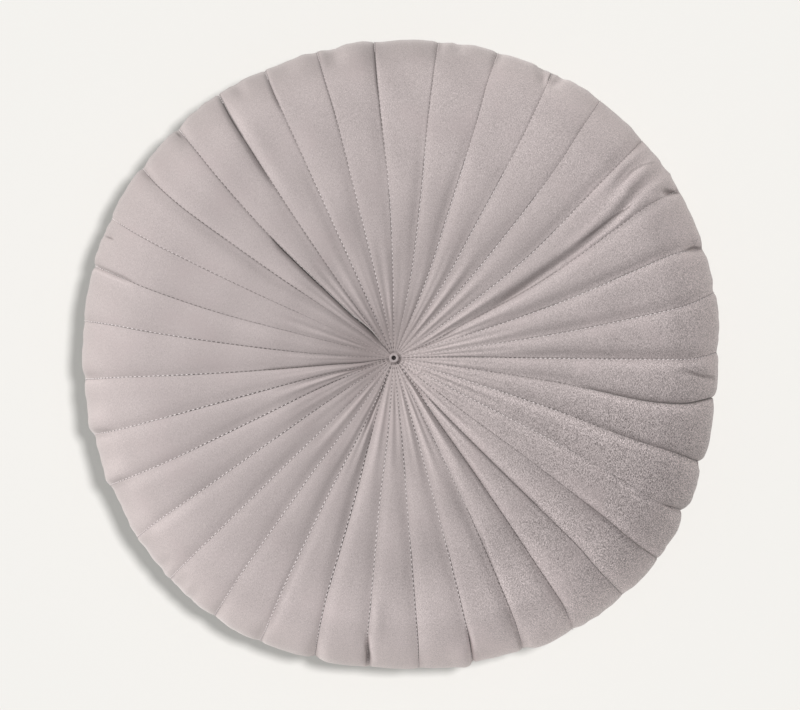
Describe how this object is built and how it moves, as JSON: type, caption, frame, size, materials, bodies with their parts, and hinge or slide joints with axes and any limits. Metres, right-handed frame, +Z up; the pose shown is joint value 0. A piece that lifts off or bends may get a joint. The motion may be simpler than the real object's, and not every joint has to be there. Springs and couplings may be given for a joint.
{
  "type": "round cushion",
  "caption": "Round pleated velvet cushion with a plump rim, radial lapped seams that run to a drawn-in middle, and a small dished centre button.",
  "frame": {"origin": "on the surface the cushion rests on, under the middle of its outline", "axes": "+Z up, out of the pleated face; +X to the right and +Y to the top of the face as pictured"},
  "size_m": [0.4027, 0.3987, 0.0852],
  "materials": {
    "velvet": "short-pile velvet in pinkish grey, soft sheen at grazing angles, faint mottling where the nap lies differently",
    "covered_button": "the same velvet drawn tight over a small dished button"
  },
  "bodies": {
    "root": {"cushion": "velvet", "centre_button": "covered_button"}
  },
  "joints": []
}
